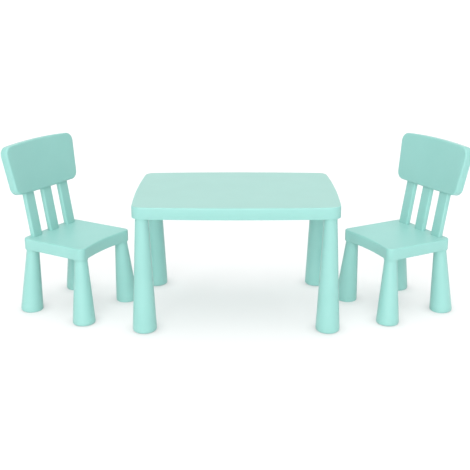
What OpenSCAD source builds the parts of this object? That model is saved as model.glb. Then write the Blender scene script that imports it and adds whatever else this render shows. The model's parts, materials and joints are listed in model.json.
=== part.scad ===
// Children's table with two chairs, moulded in plastic.
// Millimetres, +Z up. The origin is on the floor under the middle of the table,
// X runs along the table and the front of the table faces -Y.
// Left and right are as seen by someone who faces the front of the table or of a chair.

/* [Table] */
// Overall length of the table top, across its bowed ends
table_length = 770; // [740:1:860]
// Overall depth of the table top, across its bowed long sides
table_depth = 550; // [530:1:620]
// Height of the table top above the floor
table_height = 480; // [420:1:560]
// Height of the skirt around the table top
table_skirt = 44; // [40:1:60]
// How far each short end of the table top bows out
end_bow = 11; // [4:0.5:20]
// How far each long side of the table top bows out
side_bow = 13; // [4:0.5:20]
// Corner radius of the table top, seen from above
table_corner = 38; // [25:1:50]
// Distance of a table leg from the middle, along the table
table_leg_x = 340; // [300:1:350]
// Distance of a table leg from the middle, across the table
table_leg_y = 236; // [200:1:240]

/* [Seat] */
// Width of the seat
seat_width = 298; // [280:1:320]
// Depth of the seat
seat_depth = 294; // [280:1:320]
// Height of the seat above the floor
seat_height = 296; // [260:1:340]
// Height of the skirt around the seat
seat_skirt = 44; // [42:1:60]
// Corner radius of the seat, seen from above
seat_corner = 22; // [18:1:28]
// How far the front edge of the seat curves in at its middle
front_scoop = 12; // [4:0.5:18]

/* [Legs] */
// Radius of a leg where it meets the skirt
leg_top_r = 24; // [22:0.5:25]
// Radius of a table leg where it meets its foot cap
table_leg_bottom_r = 44.5; // [36:0.5:50]
// Radius of a chair leg where it meets its foot cap
chair_leg_bottom_r = 42.5; // [36:0.5:48]
// Height of a foot cap
cap_height = 13; // [10:0.5:18]
// Radius of the rounding around the bottom of a foot cap
cap_rounding = 8; // [4:0.5:10]
// Distance that each chair leg leans out between the seat and the floor, along X and along Y
chair_splay = 12; // [0:0.5:16]
// Radius of the threaded spigot on top of a leg
spigot_r = 16; // [14:0.5:17]
// Length of the threaded spigot
spigot_length = 28; // [24:1:30]

/* [Backrest] */
// Angle of the slats and the panel from upright
recline = 10.5; // [5:0.5:14]
// Width of a slat
slat_width = 48; // [40:1:54]
// Depth of a slat, front to back
slat_depth = 20; // [16:1:22]
// Distance between the middles of two slats
slat_pitch = 96; // [90:1:100]
// Distance of the slats' front face behind the middle of the seat
slat_back = 111; // [108:1:114]
// Height of the panel's lower edge above the seat, along the slats
panel_low = 173; // [140:1:190]
// Height of the panel, along the slats
panel_height = 199; // [180:1:230]
// Width of the panel across its top corners
panel_top_width = 380; // [380:1:420]
// Width of the panel across its bottom corners
panel_bottom_width = 342; // [340:1:380]
// Thickness of the panel
panel_depth = 34; // [33:1:40]
// Corner radius of the panel
panel_corner = 33; // [20:1:40]
// How far the panel stands in front of the slats
panel_proud = 8; // [6:0.5:10]

/* [Placement] */
// Distance of the left chair from the middle of the table, along the table
left_chair_x = 626.5; // [620:0.5:700]
// Distance of the left chair from the middle of the table, towards the rear
left_chair_y = 9; // [-20:1:20]
// Angle between the left chair's forward direction and the table's length
left_chair_turn = 29.5; // [0:0.5:35]
// Distance of the right chair from the middle of the table, along the table
right_chair_x = 628.5; // [620:0.5:700]
// Distance of the right chair from the middle of the table, towards the rear
right_chair_y = 8; // [-20:1:20]
// Angle between the right chair's forward direction and the table's length
right_chair_turn = 28; // [0:0.5:35]

/* [Moulding] */
// Thickness of the skirts, leg walls and panel walls
wall = 3.5; // [3:0.1:4]
// Thickness of the table top and the seat
plate = 4; // [3.5:0.1:5]
// Thickness of a stiffening rib
rib = 2.5; // [2:0.1:3]
// Depth of a stiffening rib below the plate
rib_drop = 18; // [12:1:24]
// Rounding of the top edge of the table top and the seat
edge_round = 5; // [3:0.5:6]
// Play between two parts that slip into each other
play = 0.3; // [0.2:0.05:0.4]

/* [Hidden] */
MINT = "#a6e6da";
STEEL = "#c3c7cb";
$fn = 96;
EPS = 0.01;

// Name, X sign and Y sign of each corner of a table or a chair
CORNERS = [
    for (y = [["front", -1], ["rear", 1]], x = [["left", -1], ["right", 1]])
    [str(y[0], "_", x[0]), x[1], y[1]]
];

// Name, X sign, distance along the table, distance towards the rear and turn of each chair
CHAIRS = [
    ["left_chair", -1, left_chair_x, left_chair_y, left_chair_turn],
    ["right_chair", 1, right_chair_x, right_chair_y, right_chair_turn]
];

// Name and place of each slat, from left to right
SLATS = [["left", -1], ["middle", 0], ["right", 1]];

table_underside = table_height - table_skirt;
seat_underside = seat_height - seat_skirt;

// Thread: rings of a coarse moulded thread on the spigot and in its socket
thread_height = 2;
thread_pitch = 7;
thread_flank = 1.2;
thread_land = 1.2;
thread_turns = 3;
thread_start = 5;
spigot_chamfer = 2;

// Boss under the plate that takes a leg
boss_wall = 2.5;
boss_r = leg_top_r + boss_wall;
socket_top_gap = 2;
boss_drop = 6;
cut_through = 10;
gusset_height = 24;
gusset_reach = 60;
gusset_low = table_skirt - plate - gusset_height;

// Places of the stiffening ribs, from the middle of the table top or the seat
TABLE_RIBS_X = [-216, -108, 0, 108, 216];
TABLE_RIBS_Y = [-150, -50, 50, 150];
SEAT_RIBS = [-70, 0, 70];

// Leg and foot cap; a leaning leg's shoulder sits a little below the seat's skirt
leg_shoulder = 10;
cap_plug = 18;
cap_wall = 2.5;
cap_floor = 4;
chair_leg_inset = 27;
chair_leg_x = seat_width / 2 - chair_leg_inset;
chair_leg_y = seat_depth / 2 - chair_leg_inset;
shoulder_drop = 2;
chair_leg_top = seat_underside - shoulder_drop;
splay_reach = chair_splay * sqrt(2);
splay_angle = atan(splay_reach / chair_leg_top);
below_floor = 50;
level_allowance = (chair_leg_bottom_r - cap_rounding) * sin(splay_angle);
chair_leg_length = chair_leg_top / cos(splay_angle) + level_allowance;

// Slats: each sinks into the seat and ends in a narrower tenon that clears the leg bosses
slat_corner = 5;
slat_sink = 6;
slat_reach = 60;
slat_solid = 8;
tenon_width = 24;
tenon_shift = 10;
tenon_length = 34;
tenon_wall = 3;
tenon_floor = 4;

// Screws
screw_r = 2;
screw_length = 16;
screw_head_r = 4;
screw_head_height = 2.6;

// Panel: rise of its top and lower edges, hollow of its face, its two halves and its slat pads
panel_arch = 9;
panel_dip = 3;
panel_sag = 6;
shell_depth = 25;
cover_lip = 5;
panel_edge = 6;
panel_space = 60;
guide_length = 40;
guide_width = slat_width + 2 * wall;
guide_from = -20;
guide_to = 12;

// ---------- Outlines ----------

// Points of an arc about c; skip = 1 leaves out the first point
function arc(c, r, a0, a1, n, skip = 0) = [
    for (i = [skip : n]) let (a = a0 + (a1 - a0) * i / n) c + r * [cos(a), sin(a)]
];

// A half outline from the bottom middle to the top middle, made whole
function both_halves(half) = concat(
    half, [for (i = [len(half) - 2 : -1 : 1]) [-half[i].x, half[i].y]]
);

// Radius of an arc from its half chord and its rise
function bow_radius(half_chord, rise) = (half_chord * half_chord + rise * rise) / (2 * rise);

// Table top: four bowed sides with rounded corners, drawn in by t
end_r = bow_radius(table_depth / 2, end_bow);
side_r = bow_radius(table_length / 2, side_bow);
end_c = [table_length / 2 - end_r, 0];
side_c = [0, table_depth / 2 - side_r];
function corner_centre() =
    let (
        ra = end_r - table_corner,
        rb = side_r - table_corner,
        across = side_c - end_c,
        d = norm(across),
        u = across / d,
        along = (ra * ra - rb * rb + d * d) / (2 * d),
        off = sqrt(ra * ra - along * along)
    )
    end_c + along * u + off * [-u.y, u.x];
table_corner_c = corner_centre();
corner_a0 = atan2(table_corner_c.y - end_c.y, table_corner_c.x - end_c.x);
corner_a1 = atan2(table_corner_c.y - side_c.y, table_corner_c.x - side_c.x);
function table_quarter(t) = concat(
    arc(end_c, end_r - t, 0, corner_a0, 8),
    arc(table_corner_c, table_corner - t, corner_a0, corner_a1, 8, 1),
    arc(side_c, side_r - t, corner_a1, 90, 10, 1)
);
function table_outline(t = 0) =
    let (q = table_quarter(t), n = len(q))
    both_halves(concat(
        [for (i = [n - 1 : -1 : 1]) [q[i].x, -q[i].y]], q
    ));

// Seat: straight sides and back, rounded corners and a front edge that curves in
seat_c = [seat_width / 2 - seat_corner, seat_depth / 2 - seat_corner];
scoop_r = bow_radius(seat_c.x, front_scoop) - seat_corner;
scoop_a = asin(seat_c.x / (scoop_r + seat_corner));
scoop_c = [0, -seat_c.y - (scoop_r + seat_corner) * cos(scoop_a)];
function seat_outline(t = 0) = both_halves(concat(
    arc(scoop_c, scoop_r + t, 90, 90 - scoop_a, 8),
    arc([seat_c.x, -seat_c.y], seat_corner - t, 270 - scoop_a, 360, 8, 1),
    arc(seat_c, seat_corner - t, 0, 90, 8),
    [[0, seat_depth / 2 - t]]
));

// Panel: wider at the top, with an arched top edge and a slightly bowed lower edge
panel_lean = atan((panel_top_width - panel_bottom_width) / 2 / panel_height);
panel_n = [cos(panel_lean), -sin(panel_lean)];
panel_up = [sin(panel_lean), cos(panel_lean)];
panel_k = panel_n * [panel_bottom_width / 2, 0];
panel_top_r = bow_radius(panel_top_width / 2, panel_arch);
panel_low_r = bow_radius(panel_bottom_width / 2, panel_dip);
panel_top_c = [0, panel_height - panel_top_r];
panel_low_c = [0, panel_low_r];
// Centre of a corner that touches the side and an arc about c; way is 1 above, -1 below
function panel_corner_centre(c, r, way) =
    let (m = panel_k - panel_corner - panel_n * c)
    c + m * panel_n + way * sqrt(pow(r - panel_corner, 2) - m * m) * panel_up;
panel_c_low = panel_corner_centre(panel_low_c, panel_low_r, -1);
panel_c_top = panel_corner_centre(panel_top_c, panel_top_r, 1);
function turn_to(c, p) = atan2(p.y - c.y, p.x - c.x);
function panel_outline(t = 0) =
    let (a_low = turn_to(panel_low_c, panel_c_low), a_top = turn_to(panel_top_c, panel_c_top))
    both_halves(concat(
        arc(panel_low_c, panel_low_r - t, -90, a_low, 6),
        arc(panel_c_low, panel_corner - t, a_low, -panel_lean, 8, 1),
        arc(panel_c_top, panel_corner - t, -panel_lean, a_top, 8),
        arc(panel_top_c, panel_top_r - t, a_top, 90, 8, 1)
    ));

// Cross-section of a slat or of its tenon, drawn in by t
function slat_outline(t, width) =
    let (w = width / 2 - slat_corner, d = slat_depth / 2 - slat_corner, r = slat_corner - t)
    concat(
        arc([w, -d], r, -90, 0, 4),
        arc([w, d], r, 0, 90, 4),
        arc([-w, d], r, 90, 180, 4),
        arc([-w, -d], r, 180, 270, 4)
    );

// Spigot profile from its foot to its tip, grown by g to make the socket
function thread_profile(g = 0) = concat(
    [[spigot_r + g, 0]],
    [
        for (i = [0 : thread_turns - 1], p = [
            [0, -g], [thread_height, thread_flank - g],
            [thread_height, thread_flank + thread_land + g],
            [0, 2 * thread_flank + thread_land + g]
        ])
        [spigot_r + g + p.x, thread_start + i * thread_pitch + p.y]
    ]
);

// ---------- Shared shapes ----------

// A solid that passes through rings of points, one above the other; each ring is [points, z]
module loft(rings) {
    n = len(rings[0][0]);
    last = len(rings) - 1;
    points = [for (ring = rings, p = ring[0]) [p.x, p.y, ring[1]]];
    sides = [
        for (k = [0 : last - 1], i = [0 : n - 1])
        let (j = (i + 1) % n)
        [k * n + i, (k + 1) * n + i, (k + 1) * n + j, k * n + j]
    ];
    bottom = [for (i = [0 : n - 1]) i];
    top = [for (i = [n - 1 : -1 : 0]) last * n + i];
    polyhedron(points, concat([bottom, top], sides));
}

// Threaded hole for a leg, with its mouth at z = 0
module leg_socket_hole() {
    depth = spigot_length + socket_top_gap;
    rotate_extrude()
        polygon(concat(
            [[0, -1], [spigot_r + play, -1]],
            thread_profile(play),
            [[spigot_r + play, depth], [0, depth]]
        ));
}

// Hollow tapered leg. Its shoulder is at z = 0, its spigot points up and it hangs down.
module leg(length, bottom_r) {
    drop = length - cap_height;
    hollow_top_r = leg_top_r - wall;
    rotate_extrude()
        polygon(concat(
            [[bottom_r - wall, -drop], [bottom_r, -drop], [leg_top_r, 0]],
            thread_profile(),
            [
                [spigot_r, spigot_length - spigot_chamfer],
                [spigot_r - spigot_chamfer, spigot_length],
                [0, spigot_length],
                [0, -leg_shoulder],
                [hollow_top_r, -leg_shoulder]
            ]
        ));
}

// Foot cap with a plug that slips into the leg. Its base is at z = 0.
module foot_cap(length, bottom_r) {
    slope = (bottom_r - leg_top_r) / (length - cap_height);
    plug_r = bottom_r - wall - play;
    plug_top_r = plug_r - slope * cap_plug;
    rounding = [
        for (i = [0 : 6])
        let (a = i * 15)
        [bottom_r - cap_rounding * (1 - sin(a)), cap_height * (1 - cos(a))]
    ];
    rotate_extrude()
        polygon(concat(
            [[0, 0]],
            rounding,
            [
                [plug_r, cap_height],
                [plug_top_r, cap_height + cap_plug],
                [plug_top_r - cap_wall, cap_height + cap_plug],
                [plug_r - cap_wall, cap_floor],
                [0, cap_floor]
            ]
        ));
}

// Cross ribs under a plate: xs and ys are their places, kept inside the outline
module ribs(outline, xs, ys, top) {
    reach = 1000;
    intersection() {
        translate([0, 0, top - rib_drop]) linear_extrude(rib_drop + EPS) polygon(outline);
        union() {
            for (x = xs)
                translate([x - rib / 2, -reach / 2, top - rib_drop]) cube([rib, reach, rib_drop + EPS]);
            for (y = ys)
                translate([-reach / 2, y - rib / 2, top - rib_drop]) cube([reach, rib, rib_drop + EPS]);
        }
    }
}

// Rings of a top edge that is rounded off, from z = low up to z = high
function rounded_rings(outlines, low, high) = concat(
    [[outlines[0], low]],
    [
        for (i = [0 : len(outlines) - 1])
        let (a = 90 * i / (len(outlines) - 1))
        [outlines[i], high - edge_round * (1 - sin(a))]
    ]
);
ROUND_INSETS = [for (a = [0, 30, 60, 90]) edge_round * (1 - cos(a))];

// ---------- Table ----------

module table_top() {
    inside = table_height - plate;
    color(MINT)
    difference() {
        union() {
            difference() {
                loft(rounded_rings(
                    [for (t = ROUND_INSETS) table_outline(t)], table_underside, table_height
                ));
                translate([0, 0, table_underside - 1])
                    linear_extrude(table_skirt - plate + 1) polygon(table_outline(wall));
            }
            ribs(table_outline(wall / 2), TABLE_RIBS_X, TABLE_RIBS_Y, inside);
            for (c = CORNERS)
                translate([c[1] * table_leg_x, c[2] * table_leg_y, table_underside]) {
                    cylinder(r = boss_r, h = table_skirt - plate + EPS);
                    // Gussets tie the boss to the two nearest ribs
                    translate([c[1] > 0 ? -gusset_reach : 0, -rib / 2, gusset_low])
                        cube([gusset_reach, rib, gusset_height]);
                    translate([-rib / 2, c[2] > 0 ? -gusset_reach : 0, gusset_low])
                        cube([rib, gusset_reach, gusset_height]);
                }
        }
        for (c = CORNERS)
            translate([c[1] * table_leg_x, c[2] * table_leg_y, table_underside]) leg_socket_hole();
    }
}

module table_leg(corner) {
    color(MINT)
        translate([corner[1] * table_leg_x, corner[2] * table_leg_y, table_underside])
        leg(table_underside, table_leg_bottom_r);
}

module table_foot_cap(corner) {
    color(MINT)
        translate([corner[1] * table_leg_x, corner[2] * table_leg_y, 0])
        foot_cap(table_underside, table_leg_bottom_r);
}

// ---------- Chair, in its own place: middle of the seat over the origin, front towards -Y ----------

// Puts a chair where it stands, facing the table
module place_chair(chair) {
    translate([chair[1] * chair[2], chair[3], 0])
        rotate(-chair[1] * (90 - chair[4]))
        children();
}

// Puts a leg's shoulder under a corner of the seat and leans the leg out
module place_chair_leg(corner) {
    translate([corner[1] * chair_leg_x, corner[2] * chair_leg_y, chair_leg_top])
        rotate([0, 0, atan2(corner[2], corner[1])])
        rotate([0, -splay_angle, 0])
        children();
}

// Frame of the backrest: z runs up the slats, y = 0 is their front face, z = 0 is at the seat
module place_back() {
    translate([0, slat_back, seat_height]) rotate([-recline, 0, 0]) children();
}

module slat_prism(t, low, high, width = slat_width) {
    translate([0, slat_depth / 2, low])
        linear_extrude(high - low) polygon(slat_outline(t, width));
}

// Tenon of the slat at a place from -1 to 1, drawn in by t; the outer two sit further in
module tenon(place, t, low) {
    translate([-place * tenon_shift, 0, 0]) slat_prism(t, low, 0, tenon_width);
}

module seat() {
    inside = seat_height - plate;
    color(MINT)
    difference() {
        union() {
            difference() {
                loft(rounded_rings(
                    [for (t = ROUND_INSETS) seat_outline(t)], seat_underside, seat_height
                ));
                translate([0, 0, seat_underside - 1])
                    linear_extrude(seat_skirt - plate + 1) polygon(seat_outline(wall));
            }
            ribs(seat_outline(wall / 2), SEAT_RIBS, SEAT_RIBS, inside);
            seat_bosses();
            slat_sockets();
        }
        for (c = CORNERS) place_chair_leg(c) leg_socket_hole();
        place_back()
            for (s = SLATS)
                translate([s[1] * slat_pitch, 0, 0]) {
                    slat_prism(-play, -slat_sink, cut_through);
                    tenon(s[1], -play, -tenon_length);
                    translate([-s[1] * tenon_shift, slat_depth / 2, -tenon_length - tenon_floor - 1])
                        cylinder(r = screw_r + play, h = tenon_floor + 2);
                }
    }
}

// What the bosses and sockets under the seat are kept within
module seat_space() {
    translate([0, 0, seat_underside - boss_drop])
        linear_extrude(seat_skirt + boss_drop - plate / 2) polygon(seat_outline(wall / 4));
}

// Bosses that take the chair legs, square to the leaning legs
module seat_bosses() {
    intersection() {
        for (c = CORNERS)
            place_chair_leg(c) cylinder(r = boss_r, h = seat_skirt);
        seat_space();
    }
}

// Walls around the lower ends and tenons of the slats
module slat_sockets() {
    intersection() {
        place_back()
            for (s = SLATS)
                translate([s[1] * slat_pitch, 0, 0]) {
                    slat_prism(-tenon_wall, -slat_sink - tenon_wall, 0);
                    tenon(s[1], -tenon_wall, -tenon_length - tenon_floor);
                }
        seat_space();
    }
}

module chair_leg(corner) {
    color(MINT) place_chair_leg(corner) leg(chair_leg_length, chair_leg_bottom_r);
}

// The cap's base is cut level, because the leg leans
module chair_foot_cap(corner) {
    color(MINT)
    difference() {
        place_chair_leg(corner)
            translate([0, 0, -chair_leg_length])
            foot_cap(chair_leg_length, chair_leg_bottom_r);
        translate([-seat_width, -seat_depth, -below_floor])
            cube([2 * seat_width, 2 * seat_depth, below_floor]);
    }
}

// Hollow slat with a solid lower end and a tenon that takes the screw
module slat(place) {
    top = panel_low + slat_reach;
    color(MINT)
    place_back()
        translate([place * slat_pitch, 0, 0])
        difference() {
            union() {
                slat_prism(0, -slat_sink, top);
                tenon(place, 0, -tenon_length);
            }
            slat_prism(wall, slat_solid, top - wall);
            translate([-place * tenon_shift, slat_depth / 2, -tenon_length - 1])
                cylinder(r = screw_r + play, h = screw_length - tenon_floor + 2);
        }
}

module slat_screws() {
    color(STEEL)
    place_back()
        for (s = SLATS)
            translate([
                s[1] * (slat_pitch - tenon_shift), slat_depth / 2, -tenon_length - tenon_floor
            ]) {
                cylinder(r = screw_r, h = screw_length);
                translate([0, 0, -screw_head_height])
                    cylinder(r = screw_head_r, h = screw_head_height);
            }
}

// The panel's outline, drawn in by t and standing up
module panel_block(t) {
    translate([0, panel_space, panel_low])
        rotate([90, 0, 0])
        linear_extrude(2 * panel_space) polygon(panel_outline(t));
}

// The space behind a curved face that lies some way behind the panel's front face
panel_r = bow_radius(panel_top_width / 2, panel_sag);
module behind_face(behind) {
    difference() {
        translate([-panel_top_width, -panel_space, panel_low - panel_space])
            cube([2 * panel_top_width, 3 * panel_space, panel_height + 2 * panel_space]);
        translate([0, -panel_proud - panel_r, panel_low - panel_space - 1])
            cylinder(r = panel_r + behind, h = panel_height + 2 * panel_space + 2, $fn = 360);
    }
}

// A layer of the panel between two depths behind its front face
module panel_layer(t, from, to) {
    difference() {
        intersection() {
            panel_block(t);
            behind_face(from);
        }
        behind_face(to);
    }
}

module slat_slots() {
    for (s = SLATS)
        translate([s[1] * slat_pitch, 0, 0]) slat_prism(-play, 0, panel_low + slat_reach + play);
}

// Front shell: curved face and side walls, with pads that hold the slats
module back_front_shell() {
    color(MINT)
    place_back()
    difference() {
        union() {
            difference() {
                union() {
                    panel_layer(panel_edge / 2, 0, panel_edge / 2 + EPS);
                    panel_layer(0, panel_edge / 2, shell_depth);
                }
                panel_layer(wall, wall, shell_depth + 1);
            }
            intersection() {
                panel_layer(wall / 2, wall / 2, shell_depth - cover_lip - 1);
                for (s = SLATS)
                    translate([s[1] * slat_pitch - guide_width / 2, guide_from, panel_low + wall / 2])
                        cube([guide_width, guide_to - guide_from, guide_length]);
            }
        }
        slat_slots();
    }
}

// Rear cover: closes the shell, with a lip that sits inside it
module back_rear_cover() {
    color(MINT)
    place_back()
    difference() {
        union() {
            panel_layer(0, shell_depth, panel_depth - panel_edge / 2 + EPS);
            panel_layer(panel_edge / 2, panel_depth - panel_edge / 2, panel_depth);
            panel_layer(wall + play, shell_depth - cover_lip, shell_depth + EPS);
        }
        panel_layer(wall + play + rib, shell_depth - cover_lip - 1, panel_depth - wall);
        slat_slots();
    }
}

// ---------- Assembly ----------

table_top();
for (c = CORNERS) {
    table_leg(c);
    table_foot_cap(c);
}
for (ch = CHAIRS) {
    place_chair(ch) seat();
    for (c = CORNERS) {
        place_chair(ch) chair_leg(c);
        place_chair(ch) chair_foot_cap(c);
    }
    for (s = SLATS)
        place_chair(ch) slat(s[1]);
    place_chair(ch) back_front_shell();
    place_chair(ch) back_rear_cover();
    place_chair(ch) slat_screws();
}
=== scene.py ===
# %% [markdown]
# # A children's table and two chairs in moulded plastic
#
# The real set is moulded in polypropylene, in one pale mint green. Each piece is a shell a few
# millimetres thick: a table top with a skirt, two seats of the same kind, round legs that widen
# towards the floor, flat slats and a rounded back panel. The frame that is loaded first holds
# where every piece goes. This lesson makes the pieces that are seen, one kind at a time, and
# then the plastic, the light and the camera.

# %% Load the frame
import bpy
import json
import math
from mathutils import Matrix, Vector


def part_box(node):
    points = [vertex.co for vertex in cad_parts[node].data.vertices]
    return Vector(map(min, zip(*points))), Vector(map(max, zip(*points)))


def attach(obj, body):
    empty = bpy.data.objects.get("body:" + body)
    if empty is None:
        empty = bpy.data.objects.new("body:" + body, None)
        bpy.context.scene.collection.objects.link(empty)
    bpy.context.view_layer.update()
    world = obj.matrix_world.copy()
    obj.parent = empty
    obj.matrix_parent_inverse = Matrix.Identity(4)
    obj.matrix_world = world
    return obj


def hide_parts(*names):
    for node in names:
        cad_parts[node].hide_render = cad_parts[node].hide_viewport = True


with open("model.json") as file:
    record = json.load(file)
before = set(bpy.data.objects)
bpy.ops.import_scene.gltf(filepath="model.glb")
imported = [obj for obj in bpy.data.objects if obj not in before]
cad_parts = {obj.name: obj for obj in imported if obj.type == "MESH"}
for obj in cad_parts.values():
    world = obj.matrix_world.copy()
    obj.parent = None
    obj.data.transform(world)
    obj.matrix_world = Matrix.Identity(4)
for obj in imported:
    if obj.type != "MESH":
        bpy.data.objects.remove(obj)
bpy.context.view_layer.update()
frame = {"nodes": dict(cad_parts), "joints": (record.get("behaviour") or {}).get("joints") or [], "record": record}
MM = 0.001


# %% [markdown]
# ## Sizes
#
# Sizes that the frame can tell are read from its boxes. The rest are the maker's own numbers:
# corner radii, the bow of an edge and how far an edge is rounded. They are in millimetres here
# and become metres where a shape is made.

# %% Sizes read from the frame
table_low, table_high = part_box("table_top")
TABLE_LENGTH = table_high.x - table_low.x
TABLE_DEPTH = table_high.y - table_low.y
TABLE_TOP = table_high.z
TABLE_UNDER = table_low.z
leg_low, leg_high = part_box("table_leg_front_right")
TABLE_LEG = Vector(((leg_low.x + leg_high.x) / 2, -(leg_low.y + leg_high.y) / 2, 0))
SEAT_UNDER, SEAT_TOP = (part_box("left_chair_seat")[i].z for i in (0, 1))
print(f"table {TABLE_LENGTH:.3f} x {TABLE_DEPTH:.3f} x {TABLE_TOP:.3f} m, seat at {SEAT_TOP:.3f} m")

# %% The maker's own sizes
END_BOW, SIDE_BOW, TABLE_CORNER = 11 * MM, 13 * MM, 38 * MM
SEAT_WIDTH, SEAT_DEPTH, SEAT_SKIRT = 298 * MM, 294 * MM, 44 * MM
SEAT_CORNER, SCOOP = 22 * MM, 12 * MM
WALL, PLATE, EDGE_ROUND = 3.5 * MM, 4 * MM, 5 * MM
RIB, RIB_DROP = 2.5 * MM, 18 * MM
TABLE_RIB_PITCH_X, TABLE_RIB_PITCH_Y, SEAT_RIB_PITCH = 108 * MM, 100 * MM, 70 * MM
BOSS_WALL = 2.5 * MM
LEG_TOP_R, CAP_HEIGHT, CAP_ROUND = 24 * MM, 13 * MM, 8 * MM
PLUG_HEIGHT, PLUG_TAPER = 18 * MM, 4 * MM
TABLE_LEG_R, CHAIR_LEG_R = 44.5 * MM, 42.5 * MM
CHAIR_LEG_INSET, CHAIR_LEG_DROP, SPLAY = 27 * MM, 2 * MM, 12 * MM
RECLINE = math.radians(10.5)
SLAT = Vector((48, 20, 0)) * MM
SLAT_PITCH, SLAT_BACK, SLAT_CORNER = 96 * MM, 111 * MM, 5 * MM
SLAT_SINK, SLAT_REACH = 6 * MM, 60 * MM
PANEL_LOW, PANEL_HEIGHT, PANEL_DEPTH = 173 * MM, 199 * MM, 34 * MM
PANEL_TOP_WIDTH, PANEL_LOW_WIDTH = 380 * MM, 342 * MM
PANEL_CORNER, PANEL_ARCH, PANEL_DIP = 33 * MM, 9 * MM, 3 * MM
PANEL_SAG, PANEL_PROUD, SHELL_DEPTH = 6 * MM, 8 * MM, 25 * MM
PANEL_FRONT_ROUND, PANEL_REAR_ROUND, PANEL_STRIP = 7 * MM, 5 * MM, 12 * MM
JOINT_GAP = 0.6 * MM

CORNERS = [(f"{y}_{x}", sx, sy) for y, sy in (("front", -1), ("rear", 1))
           for x, sx in (("left", -1), ("right", 1))]


# %% [markdown]
# ## Where each chair stands
#
# A chair is made once, with the middle of its seat over the origin and its front towards -Y.
# The frame holds both chairs turned towards the table. The direction that a chair slides in is
# also the direction that it faces, so the joint's axis gives the turn, and the middle of the
# four foot caps gives the place.

# %% Place of each chair
chair_places = {}
for joint in frame["joints"]:
    chair = joint["child"]
    forward = Vector(joint["axis"])
    turn = math.atan2(forward.y, forward.x) + math.pi / 2
    corners = [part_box(f"{chair}_foot_cap_{name}") for name, _, _ in CORNERS]
    middle = sum((low + high for low, high in corners), Vector()) / (2 * len(corners))
    place = Vector((middle.x, middle.y, 0))
    chair_places[chair] = Matrix.Translation(place) @ Matrix.Rotation(turn, 4, "Z")
    print(f"{chair} stands at {place.x:.3f}, {place.y:.3f} m, turned {math.degrees(turn):.1f} degrees")


# %% [markdown]
# ## Working by hand, in code
#
# Every shape below is made with the tools of edit mode. Small helpers keep that short. Some
# start a line from a single point and draw it on, straight or round. One selects faces or edges
# by a test on their place and direction, and the others close a piece up, apply a modifier, cut
# one piece with another, and move or copy a piece.

# %% Helpers for edit mode
def start_point(name, place):
    """A new mesh that holds one point, in edit mode."""
    bpy.ops.object.select_all(action="DESELECT")
    bpy.ops.mesh.primitive_plane_add(size=MM)
    piece = bpy.context.object
    piece.name = name
    bpy.ops.object.mode_set(mode="EDIT")
    bpy.ops.mesh.select_mode(type="VERT")
    bpy.ops.mesh.merge(type="CENTER")
    bpy.ops.transform.translate(value=place)
    return piece


def last_point(piece):
    """Where the selected point is."""
    bpy.ops.object.mode_set(mode="OBJECT")
    place = next(v.co.copy() for v in piece.data.vertices if v.select)
    bpy.ops.object.mode_set(mode="EDIT")
    return place


def draw_to(piece, place):
    """Draws a straight edge from the selected point to a place."""
    step = Vector(place) - last_point(piece)
    bpy.ops.mesh.extrude_region_move(TRANSFORM_OT_translate={"value": step})


def draw_arc(centre, angle, steps, axis=(0, 0, 1)):
    """Draws an arc from the selected point. Spin turns clockwise, so the angle is negated."""
    bpy.ops.mesh.spin(steps=steps, angle=-angle, center=centre, axis=axis)


def select(piece, kind, test):
    """Selects only the faces or edges for which test(middle, direction) holds, and counts them."""
    bpy.ops.mesh.select_mode(type="FACE" if kind == "faces" else "EDGE")
    bpy.ops.mesh.select_all(action="DESELECT")
    bpy.ops.object.mode_set(mode="OBJECT")
    mesh = piece.data
    if kind == "faces":
        found = [f for f in mesh.polygons if test(f.center, f.normal)]
    else:
        ends = [(e, *(mesh.vertices[i].co for i in e.vertices)) for e in mesh.edges]
        found = [e for e, a, b in ends if test((a + b) / 2, (b - a).normalized())]
    for part in found:
        part.select = True
    bpy.ops.object.mode_set(mode="EDIT")
    return len(found)


def close_up(piece, smooth_angle=32):
    """Merges doubles, points the faces outwards, shades the rounded ones smooth."""
    bpy.ops.object.mode_set(mode="EDIT")
    bpy.ops.mesh.select_all(action="SELECT")
    bpy.ops.mesh.remove_doubles(threshold=0.01 * MM)
    bpy.ops.mesh.normals_make_consistent(inside=False)
    bpy.ops.object.mode_set(mode="OBJECT")
    bpy.ops.object.shade_smooth_by_angle(angle=math.radians(smooth_angle))
    return piece


def only(piece):
    """Makes a piece the one that operators act on."""
    bpy.ops.object.select_all(action="DESELECT")
    piece.select_set(True)
    bpy.context.view_layer.objects.active = piece


def apply_modifier(piece, kind, **settings):
    """Adds a modifier with its settings and applies it at once."""
    only(piece)
    modifier = piece.modifiers.new(kind.lower(), kind)
    for key, value in settings.items():
        setattr(modifier, key, value)
    bpy.ops.object.modifier_apply(modifier=modifier.name)


def cut(piece, cutter, how="DIFFERENCE"):
    """Cuts a piece with another, or joins the two, and removes the other."""
    apply_modifier(piece, "BOOLEAN", operation=how, object=cutter, solver="EXACT")
    bpy.data.objects.remove(cutter)


def put(piece, matrix):
    """Moves a piece and applies the move, so that its place is in its mesh."""
    only(piece)
    piece.matrix_world = matrix @ piece.matrix_world
    bpy.ops.object.transform_apply(location=True, rotation=True, scale=True)
    return piece


def copy_of(piece, name):
    """A copy with a mesh of its own."""
    twin = piece.copy()
    twin.data = piece.data.copy()
    twin.name = name
    bpy.context.collection.objects.link(twin)
    return twin


# %% [markdown]
# ## Outlines
#
# Seen from above, the table top has four bowed sides and rounded corners, and the seat has
# straight sides, rounded corners and a front edge that curves in. They could be traced with a
# curve, but every stretch is an arc, so the spin tool draws them exactly: a point is spun about
# one centre after another, and mirror completes the outline.

# %% Arcs
def bow_radius(half_chord, rise):
    """Radius of an arc from half its chord and its rise."""
    return (half_chord ** 2 + rise ** 2) / (2 * rise)


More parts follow.
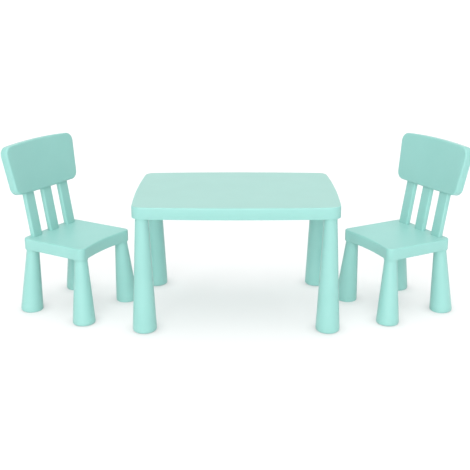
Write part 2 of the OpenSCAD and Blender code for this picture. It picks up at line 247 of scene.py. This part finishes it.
def angle_about(centre, point):
    """Direction of a point as seen from a centre, in radians."""
    return math.atan2(point.y - centre.y, point.x - centre.x)


def finish_outline(piece, both_ways):
    """Mirrors a drawn half or quarter and fills it."""
    bpy.ops.object.mode_set(mode="OBJECT")
    piece.data.materials.clear()
    apply_modifier(piece, "MIRROR", use_axis=(True, both_ways, False), merge_threshold=0.05 * MM)
    bpy.ops.object.mode_set(mode="EDIT")
    bpy.ops.mesh.select_all(action="SELECT")
    bpy.ops.mesh.remove_doubles(threshold=0.05 * MM)
    bpy.ops.mesh.edge_face_add()
    bpy.ops.mesh.normals_make_consistent(inside=False)
    bpy.ops.object.mode_set(mode="OBJECT")
    return piece


def table_outline(name, inset=0):
    """The table top's outline, drawn in by inset, at z = 0."""
    end_r, side_r = bow_radius(TABLE_DEPTH / 2, END_BOW), bow_radius(TABLE_LENGTH / 2, SIDE_BOW)
    end_c = Vector((TABLE_LENGTH / 2 - end_r, 0, 0))
    side_c = Vector((0, TABLE_DEPTH / 2 - side_r, 0))
    # The corner's centre is at a known distance from both of the other centres
    a, b, d = end_r - TABLE_CORNER, side_r - TABLE_CORNER, (side_c - end_c).length
    u = (side_c - end_c) / d
    along = (a * a - b * b + d * d) / (2 * d)
    corner_c = end_c + along * u + math.sqrt(a * a - along * along) * Vector((-u.y, u.x, 0))
    a_end, a_side = angle_about(end_c, corner_c), angle_about(side_c, corner_c)
    piece = start_point(name, (TABLE_LENGTH / 2 - inset, 0, 0))
    draw_arc(end_c, a_end, 14)
    draw_arc(corner_c, a_side - a_end, 14)
    draw_arc(side_c, math.pi / 2 - a_side, 18)
    return finish_outline(piece, both_ways=True)


def seat_outline(name, inset=0):
    """The seat's outline, drawn in by inset, at z = 0, with its front towards -Y."""
    corner = Vector((SEAT_WIDTH / 2 - SEAT_CORNER, SEAT_DEPTH / 2 - SEAT_CORNER, 0))
    scoop_r = bow_radius(corner.x, SCOOP)
    half_angle = math.asin(corner.x / scoop_r)
    scoop_c = Vector((0, -corner.y - scoop_r * math.cos(half_angle), 0))
    piece = start_point(name, scoop_c + Vector((0, scoop_r - SEAT_CORNER + inset, 0)))
    draw_arc(scoop_c, -half_angle, 16)
    draw_arc(Vector((corner.x, -corner.y, 0)), math.pi / 2 + half_angle, 14)
    draw_to(piece, (SEAT_WIDTH / 2 - inset, corner.y, 0))
    draw_arc(corner, math.pi / 2, 12)
    draw_to(piece, (0, SEAT_DEPTH / 2 - inset, 0))
    return finish_outline(piece, both_ways=False)


# %% [markdown]
# ## Trays: the table top and the seat
#
# Both are trays turned upside down: a plate about 4 mm thick with a skirt around it, and
# crossing ribs below. Solidify could give the wall, but the plate, skirt and ribs differ in
# thickness, so the outline is extruded down, inset from below and pushed up again, as the
# steel core of the mould does. Only then is the top edge bevelled, with a radius of 5 mm that
# catches the light as a soft line all around.

# %% Tray
def make_tray(outline, top, skirt):
    """Turns a filled outline into an open tray, with its rim rounded."""
    put(outline, Matrix.Translation((0, 0, top)))
    bpy.ops.object.mode_set(mode="EDIT")
    bpy.ops.mesh.select_all(action="SELECT")
    bpy.ops.mesh.extrude_region_move(TRANSFORM_OT_translate={"value": (0, 0, -skirt)})
    bpy.ops.mesh.select_all(action="SELECT")
    bpy.ops.mesh.normals_make_consistent(inside=False)
    select(outline, "faces", lambda c, n: n.z < -0.9)
    bpy.ops.mesh.inset(thickness=WALL)
    bpy.ops.mesh.extrude_region_move(TRANSFORM_OT_translate={"value": (0, 0, skirt - PLATE)})
    rim = select(outline, "edges", lambda c, d: c.z > top - 0.1 * MM and abs(d.z) < 0.5)
    bpy.ops.mesh.bevel(offset=EDGE_ROUND, segments=6, affect="EDGES")
    # A narrow ring keeps the flat plate evenly shaded up to its rounding
    select(outline, "faces", lambda c, n: c.z > top - 0.1 * MM and n.z > 0.99)
    bpy.ops.mesh.inset(thickness=1.5 * MM)
    select(outline, "faces", lambda c, n: c.z < top - skirt + 0.1 * MM and n.z < -0.9)
    bpy.ops.mesh.region_to_loop()
    bpy.ops.mesh.bevel(offset=0.7 * MM, segments=2, affect="EDGES")
    bpy.ops.object.mode_set(mode="OBJECT")
    print(f"{outline.name}: rim of {rim} edges rounded to {EDGE_ROUND / MM:.0f} mm, lower lip eased")
    return outline


# %% Ribs under a plate
def make_ribs(name, outline, xs, ys, top):
    """Crossing ribs that taper downwards, trimmed to the inside of the skirt."""
    reach = 2 * max(outline.dimensions)
    ribs = []
    for places, turn in ((xs, 0), (ys, math.pi / 2)):
        for place in places:
            bpy.ops.object.select_all(action="DESELECT")
            bpy.ops.mesh.primitive_cube_add(size=1)
            rib = bpy.context.object
            rib.scale = (RIB, reach, RIB_DROP + PLATE / 2)
            rib.location = (0, 0, top - PLATE - RIB_DROP / 2 + PLATE / 4)
            bpy.ops.object.transform_apply(location=True, rotation=True, scale=True)
            bpy.ops.object.mode_set(mode="EDIT")
            select(rib, "faces", lambda c, n: n.z < -0.9)
            bpy.ops.transform.resize(value=(0.6, 1, 1))
            bpy.ops.object.mode_set(mode="OBJECT")
            offset = Vector((0, place, 0)) if turn else Vector((place, 0, 0))
            ribs.append(put(rib, Matrix.Translation(offset) @ Matrix.Rotation(turn, 4, "Z")))
    grid = ribs[0]
    grid.name = name
    for rib in ribs[1:]:
        cut(grid, rib, "UNION")
    put(outline, Matrix.Translation((0, 0, top - 2 * RIB_DROP)))
    bpy.ops.object.mode_set(mode="EDIT")
    bpy.ops.mesh.select_all(action="SELECT")
    bpy.ops.mesh.extrude_region_move(TRANSFORM_OT_translate={"value": (0, 0, 3 * RIB_DROP)})
    bpy.ops.mesh.select_all(action="SELECT")
    bpy.ops.mesh.normals_make_consistent(inside=False)
    bpy.ops.object.mode_set(mode="OBJECT")
    cut(grid, outline, "INTERSECT")
    print(f"{name}: {len(xs)} ribs one way and {len(ys)} the other")
    return grid


# %% Bosses that hold the legs
def lathe(piece, steps=96):
    """Spins a drawn profile once around the Z axis."""
    bpy.ops.mesh.select_all(action="SELECT")
    bpy.ops.mesh.spin(steps=steps, angle=2 * math.pi, center=(0, 0, 0), axis=(0, 0, 1))
    return close_up(piece)


def make_boss(name, depth):
    """A round boss with its lower face at z = 0, eased where the leg meets it."""
    ease = 0.8 * MM
    boss_r = LEG_TOP_R + BOSS_WALL
    piece = start_point(name, (0, 0, 0))
    for r, z in ((boss_r - ease, 0), (boss_r, ease), (boss_r, depth), (0, depth)):
        draw_to(piece, (r, 0, z))
    return lathe(piece)


# %% The table top
TABLE_SKIRT = TABLE_TOP - TABLE_UNDER
table_top = make_tray(table_outline("table_top_shell"), TABLE_TOP, TABLE_SKIRT)
ribs = make_ribs("ribs", table_outline("trim", WALL / 2),
                 [k * TABLE_RIB_PITCH_X for k in (-2, -1, 0, 1, 2)],
                 [k * TABLE_RIB_PITCH_Y for k in (-1.5, -0.5, 0.5, 1.5)], TABLE_TOP)
cut(table_top, ribs, "UNION")
for _, sx, sy in CORNERS:
    boss = make_boss("boss", TABLE_SKIRT - PLATE / 2)
    put(boss, Matrix.Translation((sx * TABLE_LEG.x, sy * TABLE_LEG.y, TABLE_UNDER)))
    cut(table_top, boss, "UNION")
close_up(table_top)
print("table top:", len(table_top.data.polygons), "faces")


# %% [markdown]
# ## Legs and foot caps
#
# Each leg is blow-moulded: round, hollow, wider towards the floor, and closed by a cap that is
# pushed in from below. A cone primitive would give the taper but no joint lines, so half the
# section is drawn as a line of points and spun around its axis. Both edges at the joint are
# eased by half a millimetre, and the shadow in that groove is what tells leg and cap apart.

# %% Leg
def make_leg(name, length, bottom_r):
    """A leg with its shoulder at z = 0 that hangs down; the cap is left off."""
    drop = length - CAP_HEIGHT
    ease = JOINT_GAP
    piece = start_point(name, (0, 0, 0))
    profile = [(LEG_TOP_R - ease, 0), (LEG_TOP_R, -ease), (bottom_r, ease - drop),
               (bottom_r - ease, -drop), (bottom_r - WALL, -drop),
               (LEG_TOP_R - WALL, -WALL), (0, -WALL)]
    for r, z in profile:
        draw_to(piece, (r, 0, z))
    return lathe(piece)


# %% Foot cap
def make_foot_cap(name, bottom_r):
    """A cap with its base at z = 0, its bottom edge rounded and a plug that fills the leg."""
    ease = JOINT_GAP
    piece = start_point(name, (0, 0, 0))
    draw_to(piece, (bottom_r - CAP_ROUND, 0, 0))
    # A quarter turn of radius CAP_ROUND, on to the straight wall above it
    draw_arc(Vector((bottom_r - CAP_ROUND, 0, CAP_ROUND)), -math.pi / 2, 8, axis=(0, 1, 0))
    plug_r = bottom_r - WALL
    plug_top = CAP_HEIGHT + PLUG_HEIGHT
    for r, z in ((bottom_r, CAP_HEIGHT - ease), (bottom_r - ease, CAP_HEIGHT),
                 (plug_r, CAP_HEIGHT), (plug_r - PLUG_TAPER, plug_top), (0, plug_top)):
        draw_to(piece, (r, 0, z))
    return lathe(piece)


# %% Legs and caps of the table
pieces = {}
table_leg = make_leg("table_leg", TABLE_UNDER, TABLE_LEG_R)
table_cap = make_foot_cap("table_foot_cap", TABLE_LEG_R)
for name, sx, sy in CORNERS:
    foot = Matrix.Translation((sx * TABLE_LEG.x, sy * TABLE_LEG.y, 0))
    up = Matrix.Translation((0, 0, TABLE_UNDER))
    pieces[f"table_leg_{name}"] = put(copy_of(table_leg, f"table_leg_{name}_shell"), foot @ up)
    pieces[f"table_foot_cap_{name}"] = put(copy_of(table_cap, f"table_foot_cap_{name}_shell"), foot)
pieces["table_top"] = table_top
for pattern in (table_leg, table_cap):
    bpy.data.objects.remove(pattern)
print("table:", len(pieces), "pieces")


# %% [markdown]
# ## The chair
#
# The chair's legs lean outwards by 12 mm on the way down, both ways, so a leg is made upright
# and then turned about its shoulder. Its cap leans with it and is cut level at the floor, which
# bisect does. The slats and the panel share one leaning frame: its Z runs up the slats, its
# origin is on the seat and its Y = 0 plane is the front face of the slats.

# %% Frames of the chair
SEAT_LEG = Vector((SEAT_WIDTH / 2 - CHAIR_LEG_INSET, SEAT_DEPTH / 2 - CHAIR_LEG_INSET, 0))
CHAIR_LEG_TOP = SEAT_UNDER - CHAIR_LEG_DROP
splay_angle = math.atan(SPLAY * math.sqrt(2) / CHAIR_LEG_TOP)
CHAIR_LEG_LENGTH = (CHAIR_LEG_TOP / math.cos(splay_angle)
                    + (CHAIR_LEG_R - CAP_ROUND) * math.sin(splay_angle))


def leg_place(sx, sy):
    """Puts a leg's shoulder under a corner of the seat and leans it out."""
    shoulder = Matrix.Translation((sx * SEAT_LEG.x, sy * SEAT_LEG.y, CHAIR_LEG_TOP))
    outwards = Matrix.Rotation(math.atan2(sy, sx), 4, "Z")
    return shoulder @ outwards @ Matrix.Rotation(-splay_angle, 4, "Y")


BACK = Matrix.Translation((0, SLAT_BACK, SEAT_TOP)) @ Matrix.Rotation(-RECLINE, 4, "X")
SLAT_TOP = PANEL_LOW + SLAT_REACH
print(f"chair leg: {CHAIR_LEG_LENGTH:.3f} m long, leaning {math.degrees(splay_angle):.1f} degrees")


# %% [markdown]
# ## Slats
#
# A slat is a hollow flat bar with rounded edges. It starts as a cube of its size whose four
# long edges are bevelled to a radius of 5 mm. The same shape, a little larger, then cuts the
# seat and the panel, so that a thin dark line is left around each slat.

# %% Slat
def make_slat(name, grow=0):
    """One slat in the frame of the back, or its cutter when grow is more than nothing."""
    low, high = -SLAT_SINK - grow, SLAT_TOP + grow
    bpy.ops.object.select_all(action="DESELECT")
    bpy.ops.mesh.primitive_cube_add(size=1)
    piece = bpy.context.object
    piece.name = name
    piece.scale = (SLAT.x + 2 * grow, SLAT.y + 2 * grow, high - low)
    piece.location = (0, SLAT.y / 2, (low + high) / 2)
    bpy.ops.object.transform_apply(location=True, rotation=True, scale=True)
    bpy.ops.object.mode_set(mode="EDIT")
    select(piece, "edges", lambda c, d: abs(d.z) > 0.9)
    bpy.ops.mesh.bevel(offset=SLAT_CORNER + grow, segments=6, affect="EDGES")
    for side in (-1, 1):
        select(piece, "faces", lambda c, n: n.y * side > 0.99)
        bpy.ops.mesh.inset(thickness=1 * MM)
    return close_up(piece)


def slat_places():
    """The places of the three slats across the chair."""
    return [Matrix.Translation((k * SLAT_PITCH, 0, 0)) for k in (-1, 0, 1)]


# %% Seat
seat = make_tray(seat_outline("seat_shell"), SEAT_TOP, SEAT_SKIRT)
places = [k * SEAT_RIB_PITCH for k in (-1, 0, 1)]
cut(seat, make_ribs("ribs", seat_outline("trim", WALL / 2), places, places, SEAT_TOP), "UNION")
for _, sx, sy in CORNERS:
    boss = make_boss("boss", SEAT_SKIRT - PLATE)
    put(boss, leg_place(sx, sy))
    cut(seat, boss, "UNION")
for place in slat_places():
    cut(seat, put(make_slat("socket", JOINT_GAP), BACK @ place))
close_up(seat)
print("seat:", len(seat.data.polygons), "faces")


# %% [markdown]
# ## The back panel
#
# The panel is wider above than below, its top edge is arched, and it is hollowed towards the
# sitter by 6 mm over its width. The outline is drawn flat with arcs and given its thickness.
# Knife cuts side by side then make it bendable, and a bend turns it into a part of a cylinder.
# It is made in two halves, because the real one is: a front shell 25 mm deep and a rear cover.

# %% Panel outline
def panel_outline(name):
    """The panel's outline in the frame of the back, drawn flat at z = 0 with its height along Y."""
    lean = math.atan((PANEL_TOP_WIDTH - PANEL_LOW_WIDTH) / 2 / PANEL_HEIGHT)
    normal = Vector((math.cos(lean), -math.sin(lean), 0))
    up = Vector((math.sin(lean), math.cos(lean), 0))
    edge = normal.x * PANEL_LOW_WIDTH / 2
    top_r = bow_radius(PANEL_TOP_WIDTH / 2, PANEL_ARCH)
    low_r = bow_radius(PANEL_LOW_WIDTH / 2, PANEL_DIP)
    top_c, low_c = Vector((0, PANEL_HEIGHT - top_r, 0)), Vector((0, low_r, 0))

    def corner_centre(c, r, way):
        """Centre of a corner that touches the side and an arc; way is 1 above and -1 below."""
        m = edge - PANEL_CORNER - normal.dot(c)
        return c + m * normal + way * math.sqrt((r - PANEL_CORNER) ** 2 - m * m) * up

    low_corner, top_corner = corner_centre(low_c, low_r, -1), corner_centre(top_c, top_r, 1)
    a_low, a_top = angle_about(low_c, low_corner), angle_about(top_c, top_corner)
    piece = start_point(name, (0, 0, 0))
    draw_arc(low_c, a_low + math.pi / 2, 8)
    draw_arc(low_corner, -lean - a_low, 12)
    draw_to(piece, top_corner + PANEL_CORNER * normal)
    draw_arc(top_corner, a_top + lean, 12)
    draw_arc(top_c, math.pi / 2 - a_top, 10)
    return finish_outline(piece, both_ways=False)


# %% Panel half
def make_panel_half(name, front, rear, round_front, round_rear):
    """The panel between two depths behind its front face; each side has its own rounding."""
    piece = panel_outline(name)
    bpy.ops.object.mode_set(mode="EDIT")
    bpy.ops.mesh.select_all(action="SELECT")
    bpy.ops.mesh.extrude_region_move(TRANSFORM_OT_translate={"value": (0, 0, front - rear)})
    bpy.ops.mesh.select_all(action="SELECT")
    bpy.ops.mesh.normals_make_consistent(inside=False)
    for facing, radius in ((1, round_front), (-1, round_rear)):
        select(piece, "faces", lambda c, n: n.z * facing > 0.9)
        bpy.ops.mesh.region_to_loop()
        bpy.ops.mesh.bevel(offset=radius, segments=5 if radius > MM else 2, affect="EDGES")
    count = int(PANEL_TOP_WIDTH / PANEL_STRIP)
    for k in range(-count // 2, count // 2 + 1):
        bpy.ops.mesh.select_all(action="SELECT")
        bpy.ops.mesh.bisect(plane_co=(k * PANEL_STRIP, 0, 0), plane_no=(1, 0, 0))
    bpy.ops.object.mode_set(mode="OBJECT")
    # Stand it up: its height along Z, its front face towards -Y
    standing = Matrix.Rotation(math.pi / 2, 4, "X")
    return put(piece, Matrix.Translation((0, front - PANEL_PROUD, PANEL_LOW)) @ standing)


def bend_panel(piece):
    """Bends a half about an upright axis far in front, so that both halves stay parallel."""
    radius = bow_radius(PANEL_TOP_WIDTH / 2, PANEL_SAG)
    apply_modifier(piece, "SIMPLE_DEFORM", deform_method="BEND", deform_axis="Z",
                   angle=-PANEL_TOP_WIDTH / radius)
    return piece


front_shell = bend_panel(make_panel_half("front_shell", 0, SHELL_DEPTH,
                                         PANEL_FRONT_ROUND, JOINT_GAP))
rear_cover = bend_panel(make_panel_half("rear_cover", SHELL_DEPTH, PANEL_DEPTH,
                                        JOINT_GAP, PANEL_REAR_ROUND))
for half in (front_shell, rear_cover):
    for place in slat_places():
        cut(half, put(make_slat("slot", JOINT_GAP), place))
    close_up(half)
    put(half, BACK)
print("panel:", len(front_shell.data.polygons) + len(rear_cover.data.polygons), "faces")


# %% Both chairs
slat = put(make_slat("slat"), BACK)
chair_leg = make_leg("chair_leg", CHAIR_LEG_LENGTH, CHAIR_LEG_R)
chair_cap = make_foot_cap("chair_foot_cap", CHAIR_LEG_R)


def make_chair_foot(name, leaning):
    """A cap at the lower end of a leaning leg, cut level at the floor."""
    cap = put(copy_of(chair_cap, name), leaning @ Matrix.Translation((0, 0, -CHAIR_LEG_LENGTH)))
    only(cap)
    bpy.ops.object.mode_set(mode="EDIT")
    bpy.ops.mesh.select_all(action="SELECT")
    bpy.ops.mesh.bisect(plane_co=(0, 0, 0), plane_no=(0, 0, 1), use_fill=True, clear_inner=True)
    return close_up(cap)


for chair, place in chair_places.items():
    def add(node, pattern, matrix=Matrix.Identity(4)):
        """Adds a copy of a pattern to this chair."""
        pieces[f"{chair}_{node}"] = put(copy_of(pattern, f"{chair}_{node}_shell"), place @ matrix)

    add("seat", seat)
    add("back_front_shell", front_shell)
    add("back_rear_cover", rear_cover)
    for side, k in (("left", -1), ("middle", 0), ("right", 1)):
        add(f"slat_{side}", slat, Matrix.Translation((k * SLAT_PITCH, 0, 0)))
    for name, sx, sy in CORNERS:
        leaning = leg_place(sx, sy)
        add(f"leg_{name}", chair_leg, leaning)
        cap = make_chair_foot("cap", leaning)
        add(f"foot_cap_{name}", cap)
        bpy.data.objects.remove(cap)
for pattern in (seat, front_shell, rear_cover, slat, chair_leg, chair_cap):
    bpy.data.objects.remove(pattern)
print("both chairs and the table:", len(pieces), "pieces")


# %% [markdown]
# ## Handing the pieces to the frame
#
# Each piece stands for the node of the same name: it moves with that node's body, and the
# node is hidden. Only the screws under the seats stay as the frame has them.

# %% Ride and replace
body_of = {node: body for body, nodes in frame["record"]["behaviour"]["bodies"].items()
           for node in nodes}
for node, piece in pieces.items():
    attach(piece, body_of[node])
    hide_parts(node)
print("frame nodes that stay:", sorted(set(frame["nodes"]) - set(pieces)))


# %% [markdown]
# ## Moulded polypropylene
#
# Polypropylene is a soft-looking plastic. Light goes a little way into it, so shadows are
# gentle, and its gloss comes from the steel of the mould. Legs, skirts, slats and panels have a
# fine, even satin. The plates of the seats have a coarser grain that hides scratches. The
# table's plate has a spark-eroded grain, and a paler mint on it is painted reflection of the
# white room on the flat top. The colour is mixed into the pellets and is never quite even: it
# drifts by a percent or two where the melt flowed.

# %% Colours and nodes
def srgb(code):
    """A hex colour as linear red, green, blue and alpha."""
    parts = [int(code[i:i + 2], 16) / 255 for i in (1, 3, 5)]
    return [c / 12.92 if c <= 0.04045 else ((c + 0.055) / 1.055) ** 2.4 for c in parts] + [1]


def add_node(tree, kind, inputs=None, **settings):
    """Adds a node; an input is a value or the output of another node."""
    node = tree.nodes.new(kind)
    for key, value in settings.items():
        setattr(node, key, value)
    for key, value in (inputs or {}).items():
        if isinstance(value, bpy.types.NodeSocket):
            tree.links.new(value, node.inputs[key])
        else:
            node.inputs[key].default_value = value
    return node


def new_material(name):
    """An empty material and its node tree."""
    material = bpy.data.materials.new(name)
    material.use_nodes = True
    tree = material.node_tree
    tree.nodes.clear()
    return material, tree


# %% Plastic
def moulded_polypropylene(name, grain_mm, grain_depth_mm, roughness, light, dark):
    """Polypropylene from a mould with a grain of a given size and depth."""
    material, tree = new_material(name)
    place = add_node(tree, "ShaderNodeTexCoord").outputs["Object"]
    # Flow of the melt: soft clouds about 90 mm across
    flow = add_node(tree, "ShaderNodeTexNoise",
                    {"Vector": place, "Scale": 1 / (90 * MM), "Detail": 2, "Roughness": 0.45})
    colour = add_node(tree, "ShaderNodeMix", {"Factor": flow.outputs["Fac"], "A": dark, "B": light},
                      data_type="RGBA")
    colour_out = next(o for o in colour.outputs if o.type == "RGBA")
    # The mould's grain, a little coarser than a real one so that it shows
    grain = add_node(tree, "ShaderNodeTexNoise",
                     {"Vector": place, "Scale": 1 / (grain_mm * MM), "Detail": 3, "Roughness": 0.6})
    bump = add_node(tree, "ShaderNodeBump",
                    {"Height": grain.outputs["Fac"], "Strength": 1, "Distance": grain_depth_mm * MM})
    gloss = add_node(tree, "ShaderNodeMapRange",
                     {"Value": grain.outputs["Fac"], "From Min": 0.3, "From Max": 0.7,
                      "To Min": roughness - 0.05, "To Max": roughness + 0.05})
    shader = add_node(tree, "ShaderNodeBsdfPrincipled",
                      {"Base Color": colour_out, "Roughness": gloss.outputs["Result"], "IOR": 1.49,
                       "Normal": bump.outputs["Normal"], "Subsurface Weight": 0.12,
                       "Subsurface Radius": (0.6, 1.0, 0.9), "Subsurface Scale": 4 * MM})
    add_node(tree, "ShaderNodeOutputMaterial", {"Surface": shader.outputs["BSDF"]})
    return material


MINT = srgb("#94c9c2"), srgb("#8ec4bd")
# Paler mint for the table's flat top: painted reflection of the white room seen at a grazing angle
PAINTED_REFLECTION_MINT = srgb("#9fcac2"), srgb("#9ac5bd")
satin = moulded_polypropylene("satin_moulded_polypropylene", 1.2, 0.02, 0.36, *MINT)
grained = moulded_polypropylene("grained_moulded_polypropylene", 1.8, 0.06, 0.45, *MINT)
spark_grained_painted_reflection = moulded_polypropylene("spark_grained_polypropylene_painted_reflection", 1.0, 0.06, 0.55,
                                      *PAINTED_REFLECTION_MINT)


# %% Zinc-plated steel
def zinc_plated_steel():
    """Bright zinc over drawn wire: a cool metal with faint cloudy spangle."""
    material, tree = new_material("bright_zinc_plated_steel")
    place = add_node(tree, "ShaderNodeTexCoord").outputs["Object"]
    spangle = add_node(tree, "ShaderNodeTexNoise",
                       {"Vector": place, "Scale": 1 / (2 * MM), "Detail": 2})
    gloss = add_node(tree, "ShaderNodeMapRange",
                     {"Value": spangle.outputs["Fac"], "To Min": 0.22, "To Max": 0.38})
    shader = add_node(tree, "ShaderNodeBsdfPrincipled",
                      {"Base Color": srgb("#c3c7cb"), "Metallic": 1,
                       "Roughness": gloss.outputs["Result"]})
    add_node(tree, "ShaderNodeOutputMaterial", {"Surface": shader.outputs["BSDF"]})
    return material


# %% Give each piece its finish
for node, piece in pieces.items():
    piece.data.materials.clear()
    piece.data.materials.append(satin)
    # The table's flat top faces take the paler mint, a painted reflection; the seats' top faces take the coarser
    # grain
    if node == "table_top" or node.endswith("_seat"):
        piece.data.materials.append(spark_grained_painted_reflection if node == "table_top" else grained)
        top = max(corner[2] for corner in piece.bound_box)
        for face in piece.data.polygons:
            if face.center.z > top - 0.2 * MM and face.normal.z > 0.99:
                face.material_index = 1
steel = zinc_plated_steel()
for node in sorted(set(frame["nodes"]) - set(pieces)):
    frame["nodes"][node].data.materials.clear()
    frame["nodes"][node].data.materials.append(steel)
print("materials:", satin.name, grained.name, spark_grained_painted_reflection.name, steel.name)


# %% [markdown]
# ## Floor, light and camera
#
# The set stands on a wide sheet of white acrylic that is lit from below, as on the light table
# of a product studio, so its shadows stay pale. The room is dim at the sides and has a white
# backdrop behind, which the flat tops reflect. One broad light comes from the front, a little
# from the left, and one from overhead. The camera stands about three metres away, at the height
# of a seated adult's head, and looks down a little. Its shift places the set in the picture.

# %% Floor
FLOOR_R = 60
bpy.ops.object.select_all(action="DESELECT")
bpy.ops.mesh.primitive_circle_add(vertices=96, radius=FLOOR_R, fill_type="NGON",
                                  location=(0, 0, -0.1 * MM))
bpy.ops.object.transform_apply(location=True, rotation=True, scale=True)
floor = bpy.context.object
floor.name = "floor"
acrylic, tree = new_material("lit_opal_acrylic")
frost = add_node(tree, "ShaderNodeTexNoise", {"Scale": 40, "Detail": 2})
gloss = add_node(tree, "ShaderNodeMapRange",
                 {"Value": frost.outputs["Fac"], "To Min": 0.85, "To Max": 0.95})
# Painted contact shadow: ambient occlusion makes less light come out of the sheet right beside a foot
painted_contact_shade = add_node(tree, "ShaderNodeAmbientOcclusion", {"Distance": 50 * MM})
lit = add_node(tree, "ShaderNodeMapRange",
               {"Value": painted_contact_shade.outputs["AO"], "From Min": 0.4, "To Min": 0.32, "To Max": 0.49})
sheet = add_node(tree, "ShaderNodeBsdfPrincipled",
                 {"Base Color": srgb("#b8b8b8"), "Roughness": gloss.outputs["Result"],
                  "Specular IOR Level": 0.1, "Emission Color": (1, 1, 1, 1),
                  "Emission Strength": lit.outputs["Result"]})
add_node(tree, "ShaderNodeOutputMaterial", {"Surface": sheet.outputs["BSDF"]})
floor.data.materials.append(acrylic)

# %% Light
world = bpy.data.worlds.new("studio")
bpy.context.scene.world = world
world.use_nodes = True
tree = world.node_tree
ROOM, BACKDROP = 0.5, 1.25
direction = add_node(tree, "ShaderNodeTexCoord").outputs["Generated"]
towards = add_node(tree, "ShaderNodeSeparateXYZ", {"Vector": direction})
glow = add_node(tree, "ShaderNodeMapRange",
                {"Value": towards.outputs["Y"], "From Min": 0.55, "From Max": 0.95,
                 "To Min": ROOM, "To Max": BACKDROP})
background = tree.nodes["Background"]
background.inputs["Color"].default_value = (1, 1, 1, 1)
tree.links.new(glow.outputs["Result"], background.inputs["Strength"])


def broad_light(name, towards_it, strength, spread):
    """A broad light far away, in a direction, that spans a number of degrees."""
    data = bpy.data.lights.new(name, "SUN")
    data.energy = strength
    data.angle = math.radians(spread)
    lamp = bpy.data.objects.new(name, data)
    bpy.context.collection.objects.link(lamp)
    lamp.rotation_euler = Vector(towards_it).to_track_quat("Z", "Y").to_euler()
    print(f"{name}: strength {strength} over {spread} degrees")


broad_light("key", (-0.1, -0.92, 0.3), 2.15, 50)
broad_light("overhead", (0, -0.1, 1), 1.6, 60)

# %% Camera
CAMERA_PLACE = (0, -2.9887, 1.2687)
PITCH = math.radians(14.133)
camera_data = bpy.data.cameras.new("camera")
camera_data.lens = 61.21
camera_data.shift_x = -0.0026
camera_data.shift_y = -0.1177
camera = bpy.data.objects.new("camera", camera_data)
bpy.context.collection.objects.link(camera)
camera.location = CAMERA_PLACE
camera.rotation_euler = (math.pi / 2 - PITCH, 0, 0)
scene = bpy.context.scene
scene.camera = camera
scene.view_settings.view_transform = "Standard"
print(f"camera: {camera_data.lens} mm lens, looking down {math.degrees(PITCH):.1f} degrees")
